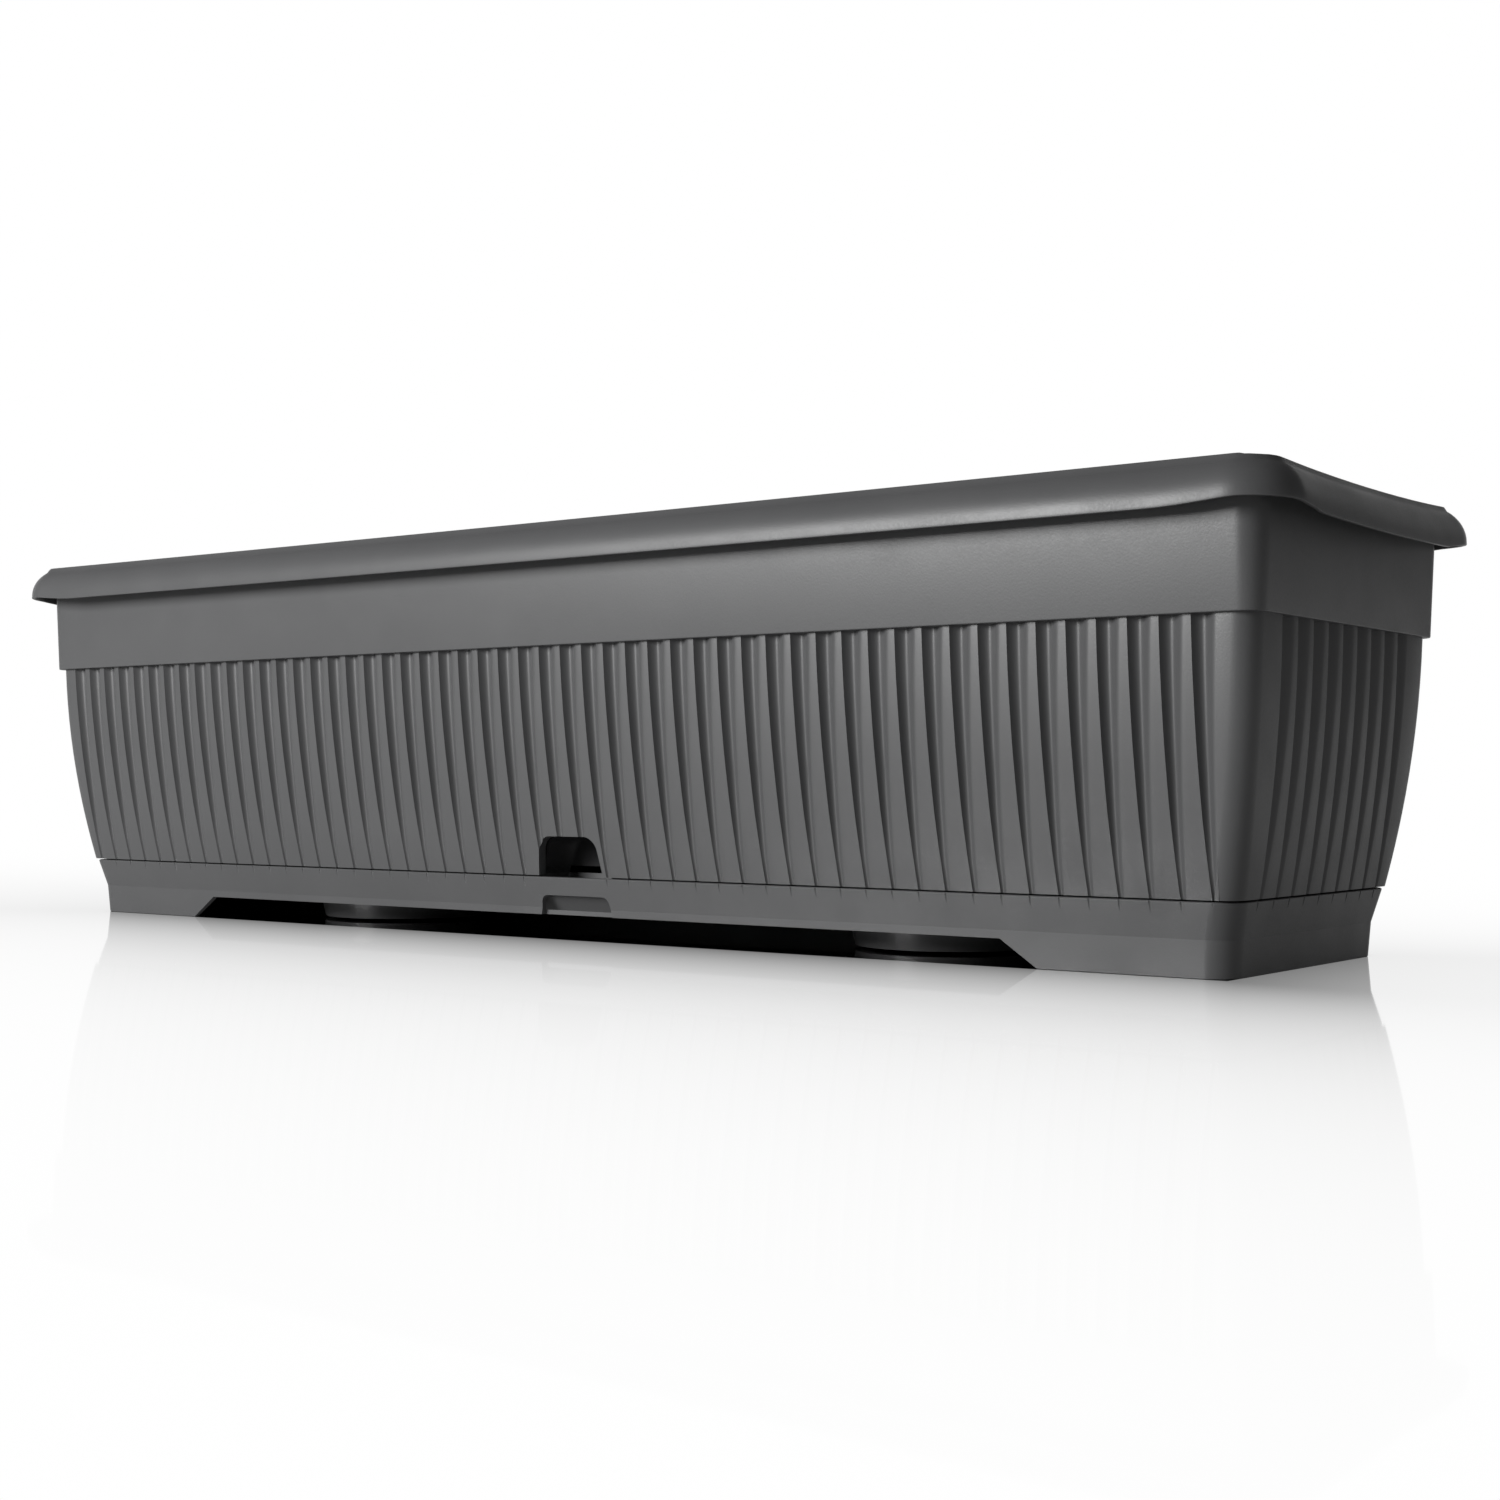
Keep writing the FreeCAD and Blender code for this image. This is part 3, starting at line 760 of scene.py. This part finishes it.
ticks = []
for count, pitch, half_out, turned in (
    (FRONT_FLUTES, FRONT_PITCH, WIDTH / 2, 0.0),
    (END_FLUTES, END_PITCH, LENGTH / 2, math.pi / 2),
):
    for index in range(count):
        x = ((index - (count - 1) / 2) * pitch + TICK_SHIFT) * (1 - FLUTE_LEAN)
        for half_turn in (0.0, math.pi):
            is_front = turned == 0.0 and half_turn == 0.0
            if not is_front or abs(x - INLET_X) >= TICK_CLEAR:
                ticks.append(one_tick(x, half_out, turned + half_turn))
join(ticks)
carve(tray, ticks[0])
print("ticks", len(ticks))
settle(tray, keep_flats=True)

# %% [markdown]
# The inlet is a rounded trapezoid cut through the front wall, 14 mm right of the middle.
# A watering can pours into the pocket behind it.

# %% Inlet through the wall
inlet = trapezoid(
    low_width=32.8 * MM, top_width=27 * MM, low_z=20 * MM, top_z=38.6 * MM, depth=40 * MM,
    x=INLET_X, corner=5 * MM,
)
carve(wall, inlet)
settle(wall, WALL_SMOOTH)

# %% [markdown]
# The hidden lower part of the box is already right in the CAD model: the plug that nests
# in the tray, its drain holes and the pocket behind the inlet. A merged copy of the CAD
# mesh is cut down to that part, so it keeps its place to a hundredth of a millimetre.

# %% Floor and pocket from the CAD mesh
def cut_from_cad(node, name, low, high):
    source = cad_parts[node]
    piece = bpy.data.objects.new(name, source.data.copy())
    bpy.context.scene.collection.objects.link(piece)
    face_outwards(piece)
    clear_selection()
    middle = [(a + b) / 2 for a, b in zip(low, high)]
    bpy.ops.mesh.primitive_cube_add(size=1, location=middle)
    keep = bpy.context.object
    keep.scale = [b - a for a, b in zip(low, high)]
    bpy.ops.object.transform_apply(scale=True)
    carve(piece, keep, "INTERSECT")
    return settle(piece)


PLUG_INSET = 26.95 * MM
PLUG_X = LENGTH / 2 - PLUG_INSET
PLUG_Y = WIDTH / 2 - PLUG_INSET
base = cut_from_cad(
    "planter_box", "box_floor", low=(-PLUG_X, -PLUG_Y, 5 * MM), high=(PLUG_X, PLUG_Y, 27 * MM)
)
pocket = cut_from_cad(
    "planter_box", "inlet_pocket",
    low=(-8 * MM, -PLUG_Y, 24.4 * MM), high=(36 * MM, -42 * MM, 43 * MM),
)

# %% [markdown]
# The camera comes from the photograph: the vanishing points of the rim, the band and
# the tray give where it stood. It is low, just over a third of the planter's height,
# and looks slightly up, so the top edges climb to the near corner.

# %% Camera
CAMERA_PLACE = (0.53667, -0.64879, 0.05860)
CAMERA_YAW = math.radians(36.93)
CAMERA_PITCH = 0.0155
CAMERA_ROLL = 0.0024
CAMERA_LENS = 50.77
camera_data = bpy.data.cameras.new("camera")
camera_data.lens = CAMERA_LENS
camera_data.sensor_width = 36.0
camera_data.clip_start = 0.01
camera = bpy.data.objects.new("camera", camera_data)
bpy.context.scene.collection.objects.link(camera)
turn = Matrix.Rotation(CAMERA_YAW, 4, "Z") @ Matrix.Rotation(math.pi / 2 + CAMERA_PITCH, 4, "X")
camera.matrix_world = Matrix.Translation(CAMERA_PLACE) @ turn @ Matrix.Rotation(CAMERA_ROLL, 4, "Z")
bpy.context.scene.camera = camera
print("camera at", CAMERA_PLACE)

# %% [markdown]
# The whole planter is satin polypropylene with a fine moulded grain. Three effects are
# kept in two shader groups, so that every plastic uses them with its own values: a grain
# that breaks the gloss, a faint cloudiness from the moulding, and a little dust. These
# helpers make a group and the few kinds of node that fill it.

# %% Helpers: shader groups and nodes
def new_group(name, inputs, outputs):
    group = bpy.data.node_groups.new(name, "ShaderNodeTree")
    for label, kind, value in inputs:
        socket = group.interface.new_socket(name=label, in_out="INPUT", socket_type=kind)
        if value is not None:
            socket.default_value = value
    for label, kind in outputs:
        group.interface.new_socket(name=label, in_out="OUTPUT", socket_type=kind)
    return group, group.nodes.new("NodeGroupInput"), group.nodes.new("NodeGroupOutput")


def noise(tree, place, scale, detail, roughness=0.5):
    node = tree.nodes.new("ShaderNodeTexNoise")
    node.inputs["Scale"].default_value = scale
    node.inputs["Detail"].default_value = detail
    node.inputs["Roughness"].default_value = roughness
    tree.links.new(place, node.inputs["Vector"])
    return node.outputs["Fac"]


def spread(tree, value, low, high):
    """Map a value from 0 to 1 onto low to high."""
    node = tree.nodes.new("ShaderNodeMapRange")
    tree.links.new(value, node.inputs["Value"])
    node.inputs["To Min"].default_value = low
    node.inputs["To Max"].default_value = high
    return node.outputs["Result"]


def maths(tree, operation, first, second):
    node = tree.nodes.new("ShaderNodeMath")
    node.operation = operation
    for socket, value in zip(node.inputs, (first, second)):
        if isinstance(value, (int, float)):
            socket.default_value = value
        else:
            tree.links.new(value, socket)
    return node.outputs["Value"]


# %% [markdown]
# The grain is a noise with features of under a millimetre, fine enough to be felt rather
# than seen. Its height feeds the bump of each plastic. Multiplied with a broader noise it
# also breaks the gloss, which flows unevenly over a large moulding.

# %% Shader group: moulded grain
GRAIN_SCALE = 1400.0
FLOW_SCALE = 60.0
grain, grain_in, grain_out = new_group(
    "moulded_grain",
    [("Place", "NodeSocketVector", None), ("Size", "NodeSocketFloat", GRAIN_SCALE)],
    [("Height", "NodeSocketFloat"), ("Gloss Break", "NodeSocketFloat")],
)
fine = noise(grain, grain_in.outputs["Place"], GRAIN_SCALE, 2.0, 0.6)
grain.links.new(grain_in.outputs["Size"], fine.node.inputs["Scale"])
flow = noise(grain, grain_in.outputs["Place"], FLOW_SCALE, 3.0)
grain.links.new(fine, grain_out.inputs["Height"])
grain.links.new(maths(grain, "MULTIPLY", fine, flow), grain_out.inputs["Gloss Break"])
print("group", grain.name)

# %% [markdown]
# Two broader noises give the cloudiness, which shades the colour a few hundredths up and
# down. Their product is high only in large soft patches, and there the dust lies.

# %% Shader group: cloudiness and dust
CLOUD_SCALE = 9.0
STREAK_SCALE = 34.0
CLOUD_SHADE = 0.06
STREAK_SHADE = 0.04
DUST_GAIN = 2.2
clouds, clouds_in, clouds_out = new_group(
    "clouds_and_dust",
    [("Place", "NodeSocketVector", None), ("Dust", "NodeSocketFloat", 0.1)],
    [("Shade", "NodeSocketFloat"), ("Dust Mask", "NodeSocketFloat")],
)
broad = noise(clouds, clouds_in.outputs["Place"], CLOUD_SCALE, 3.0, 0.55)
streaks = noise(clouds, clouds_in.outputs["Place"], STREAK_SCALE, 4.0, 0.6)
broad_shade = spread(clouds, broad, -CLOUD_SHADE, CLOUD_SHADE)
streak_shade = spread(clouds, streaks, -STREAK_SHADE, STREAK_SHADE)
clouds.links.new(maths(clouds, "ADD", broad_shade, streak_shade), clouds_out.inputs["Shade"])
patch = spread(clouds, maths(clouds, "MULTIPLY", broad, streaks), 0.0, DUST_GAIN)
dust_mask = maths(clouds, "MULTIPLY", patch, clouds_in.outputs["Dust"])
clouds.links.new(dust_mask, clouds_out.inputs["Dust Mask"])
print("group", clouds.name)

# %% [markdown]
# Both plastics are one recipe with other values. The shell is anthracite, and the grid
# and the cups are a duller black. The pocket behind the inlet is the same anthracite
# moulding, but it gets the black as painted shade, for the deep shadow inside it. A plain
# shader would do for a far view, but close up the grain in gloss and relief makes the
# difference to paint.

# %% Plastics
DUST_COLOUR = (0.30, 0.29, 0.28)
GRAIN_DISTANCE = 0.06 * MM
GLOSS_BREAK = (-0.06, 0.22)


def plastic(name, colour, roughness, dust, bump):
    material = bpy.data.materials.new(name)
    material.use_nodes = True
    tree = material.node_tree
    shader = tree.nodes["Principled BSDF"]
    place = tree.nodes.new("ShaderNodeTexCoord").outputs["Object"]
    grain_node = tree.nodes.new("ShaderNodeGroup")
    grain_node.node_tree = grain
    clouds_node = tree.nodes.new("ShaderNodeGroup")
    clouds_node.node_tree = clouds
    clouds_node.inputs["Dust"].default_value = dust
    for node in (grain_node, clouds_node):
        tree.links.new(place, node.inputs["Place"])
    tint = tree.nodes.new("ShaderNodeHueSaturation")
    tint.inputs["Color"].default_value = (*colour, 1)
    tree.links.new(maths(tree, "ADD", clouds_node.outputs["Shade"], 1.0), tint.inputs["Value"])
    dusty = tree.nodes.new("ShaderNodeMix")
    dusty.data_type = "RGBA"
    dusty.inputs["B"].default_value = (*DUST_COLOUR, 1)
    tree.links.new(clouds_node.outputs["Dust Mask"], dusty.inputs["Factor"])
    tree.links.new(tint.outputs["Color"], dusty.inputs["A"])
    tree.links.new(dusty.outputs["Result"], shader.inputs["Base Color"])
    gloss_break = spread(tree, grain_node.outputs["Gloss Break"], *GLOSS_BREAK)
    tree.links.new(maths(tree, "ADD", gloss_break, roughness), shader.inputs["Roughness"])
    relief = tree.nodes.new("ShaderNodeBump")
    relief.inputs["Strength"].default_value = bump
    relief.inputs["Distance"].default_value = GRAIN_DISTANCE
    tree.links.new(grain_node.outputs["Height"], relief.inputs["Height"])
    tree.links.new(relief.outputs["Normal"], shader.inputs["Normal"])
    return material


anthracite = plastic(
    "anthracite_plastic", colour=(0.088, 0.089, 0.091), roughness=0.40, dust=0.03, bump=0.5
)
black = plastic(
    "black_plastic_and_painted_shade", colour=(0.03, 0.03, 0.032), roughness=0.48, dust=0.02, bump=0.4
)
# The grid and the cups are black plastic. The pocket is anthracite too, and gets the black only as
# painted shade for the deep shadow behind the inlet.
for piece in (rim, wall, tray, base, pocket):
    piece.data.materials.clear()
    piece.data.materials.append(black if piece is pocket else anthracite)
for node in ("soil_grid", "wick_cup_left", "wick_cup_right"):
    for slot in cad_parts[node].material_slots:
        slot.material = black
print("materials", anthracite.name, black.name)

# %% [markdown]
# The pieces of the box ride on the box body and the tray on the tray body, so that the
# planter still lifts apart.

# %% Which body carries each piece
for piece in (rim, wall, base, pocket):
    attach(piece, "box")
    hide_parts("planter_box")
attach(tray, "tray")
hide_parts("water_tray")
print("box pieces 4, tray pieces 1")

# %% [markdown]
# A table and a screen stand around the planter. They could be made white with more light,
# but that would also fall on the planter. Instead both are mixed with plain white light
# of their own, whose strength of 1 renders as white.

# %% Helpers: materials of the stage
def stage_material(name):
    """New material without its usual shader. Gives back the material and its nodes."""
    material = bpy.data.materials.new(name)
    material.use_nodes = True
    tree = material.node_tree
    tree.nodes.remove(tree.nodes["Principled BSDF"])
    return material, tree


def whiten(tree, shader_output, mask):
    """Mix a shader with plain white light by a mask."""
    white = tree.nodes.new("ShaderNodeEmission")
    white.inputs["Strength"].default_value = 1.0
    mix = tree.nodes.new("ShaderNodeMixShader")
    tree.links.new(mask, mix.inputs["Fac"])
    tree.links.new(shader_output, mix.inputs[1])
    tree.links.new(white.outputs["Emission"], mix.inputs[2])
    return mix.outputs["Shader"]


# %% [markdown]
# The planter stands on a polished white table in a white studio. For the camera the
# table is a mirror that fades into plain white with the distance from the planter. Close
# to the planter the white is taken away, which paints a soft shadow around its foot, and
# under the tray only the mirror is left. For the light that falls back on the planter it
# is a plain diffuse pale grey, and where the planter mirrors the table it is half of
# each. The distance is measured from the foot of the tray, and counts only half along
# the planter.

# %% Floor
TABLE_SIZE = 60
TABLE_ROUGHNESS = 0.04
FLOOR_COLOUR = 0.45
NEAR_WHITE = 0.2
GLINT_SHARE = 0.5
FADE = 0.11
FOOTPRINT = (0.272, 0.0605, 0)
STRETCH = (0.5, 1, 0)
clear_selection()
bpy.ops.mesh.primitive_plane_add(size=TABLE_SIZE, location=(0, 0, 0))
floor = bpy.context.object
floor.name = "floor"
floor_material, tree = stage_material("white_table")
rays = tree.nodes.new("ShaderNodeLightPath")
diffuse = tree.nodes.new("ShaderNodeBsdfDiffuse")
diffuse.inputs["Color"].default_value = (FLOOR_COLOUR, FLOOR_COLOUR, FLOOR_COLOUR, 1)
gloss = tree.nodes.new("ShaderNodeBsdfGlossy")
gloss.inputs["Roughness"].default_value = TABLE_ROUGHNESS
place = tree.nodes.new("ShaderNodeTexCoord").outputs["Object"]
for operation, value in (
    ("ABSOLUTE", None),
    ("SUBTRACT", FOOTPRINT),
    ("MAXIMUM", (0, 0, 0)),
    ("MULTIPLY", STRETCH),
):
    step = tree.nodes.new("ShaderNodeVectorMath")
    step.operation = operation
    tree.links.new(place, step.inputs[0])
    if value is not None:
        step.inputs[1].default_value = value
    place = step.outputs["Vector"]
reach = tree.nodes.new("ShaderNodeVectorMath")
reach.operation = "LENGTH"
tree.links.new(place, reach.inputs[0])
# Close to the planter less white is mixed in, so the table is darker there: a painted shadow,
# strongest at the foot of the tray and fading over FADE.
painted_shadow = maths(tree, "EXPONENT", maths(tree, "MULTIPLY", reach.outputs["Value"], -1 / FADE), 0)
fade = maths(tree, "SUBTRACT", 1.0, maths(tree, "MULTIPLY", painted_shadow, 1 - NEAR_WHITE))
outside = maths(tree, "GREATER_THAN", reach.outputs["Value"], 0.0)
mask = maths(tree, "MULTIPLY", fade, outside)
glints = maths(tree, "MULTIPLY", rays.outputs["Is Glossy Ray"], GLINT_SHARE)
table = tree.nodes.new("ShaderNodeMixShader")
tree.links.new(maths(tree, "ADD", rays.outputs["Is Camera Ray"], glints), table.inputs["Fac"])
tree.links.new(diffuse.outputs["BSDF"], table.inputs[1])
tree.links.new(whiten(tree, gloss.outputs["BSDF"], mask), table.inputs[2])
tree.links.new(table.outputs["Shader"], tree.nodes["Material Output"].inputs["Surface"])
floor.data.materials.append(floor_material)
print("floor ready")

# %% [markdown]
# A low white screen stands far behind, seen only by the camera and in reflections, so
# the polished table mirrors white but the rim doesn't.

# %% Screen behind
SCREEN_PLACE = (-3.2, 4.2, 1.3)
SCREEN_SIZE = (12, 2.8)
SCREEN_TURN = math.radians(37)
clear_selection()
bpy.ops.mesh.primitive_plane_add(
    size=1, location=SCREEN_PLACE, rotation=(math.pi / 2, 0, SCREEN_TURN)
)
screen = bpy.context.object
screen.scale = (*SCREEN_SIZE, 1)
bpy.ops.object.transform_apply(location=False, rotation=False, scale=True)
screen.name = "screen"
screen_material, tree = stage_material("white_screen")
rays = tree.nodes.new("ShaderNodeLightPath")
seen = maths(tree, "MAXIMUM", rays.outputs["Is Camera Ray"], rays.outputs["Is Glossy Ray"])
clear = tree.nodes.new("ShaderNodeBsdfTransparent")
screen_surface = whiten(tree, clear.outputs["BSDF"], seen)
tree.links.new(screen_surface, tree.nodes["Material Output"].inputs["Surface"])
screen.data.materials.append(screen_material)
print("screen", SCREEN_SIZE, "m")

# %% [markdown]
# The rest of the room is dim, which keeps the end face of the planter dark. Only the
# camera sees it white.

# %% Room
ROOM = 0.11
world = bpy.data.worlds.new("studio")
bpy.context.scene.world = world
world.use_nodes = True
tree = world.node_tree
background = tree.nodes["Background"]
rays = tree.nodes.new("ShaderNodeLightPath")
strength = spread(tree, rays.outputs["Is Camera Ray"], ROOM, 1.0)
tree.links.new(strength, background.inputs["Strength"])
background.inputs["Color"].default_value = (1, 1, 1, 1)
print("room", ROOM)

# %% [markdown]
# A softbox stands in front, a little left of the middle. It lights the fluted front
# evenly, leaves the right end in shade and draws the dark left edges of the flutes. A
# second one behind the planter shows its back to whoever walks around it. It isn't
# mirrored in the plastic, where it would put a bright spot on the end of the rim.

# %% Softboxes
def softbox(name, place, aim, size, power):
    light_data = bpy.data.lights.new(name, "AREA")
    light_data.shape = "RECTANGLE"
    light_data.size, light_data.size_y = size
    light_data.energy = power
    light = bpy.data.objects.new(name, light_data)
    bpy.context.scene.collection.objects.link(light)
    light.location = place
    light.visible_camera = False
    light.rotation_euler = (Vector(aim) - Vector(place)).to_track_quat("-Z", "Y").to_euler()
    return light


softbox("key", place=(-0.42, -1.2, 0.45), aim=(0.15, 0, 0.08), size=(0.6, 0.45), power=18)
back_light = softbox(
    "back", place=(-0.25, 1.5, 0.6), aim=(-0.05, 0, 0.08), size=(1.0, 0.5), power=9
)
back_light.visible_glossy = False
print("softboxes 2")

# %% [markdown]
# The view transform decides how light becomes colour on the screen. With Standard, a
# plastic renders about in the colour that was typed in.

# %% Colours as written
bpy.context.scene.view_settings.view_transform = "Standard"
print("view transform", bpy.context.scene.view_settings.view_transform)
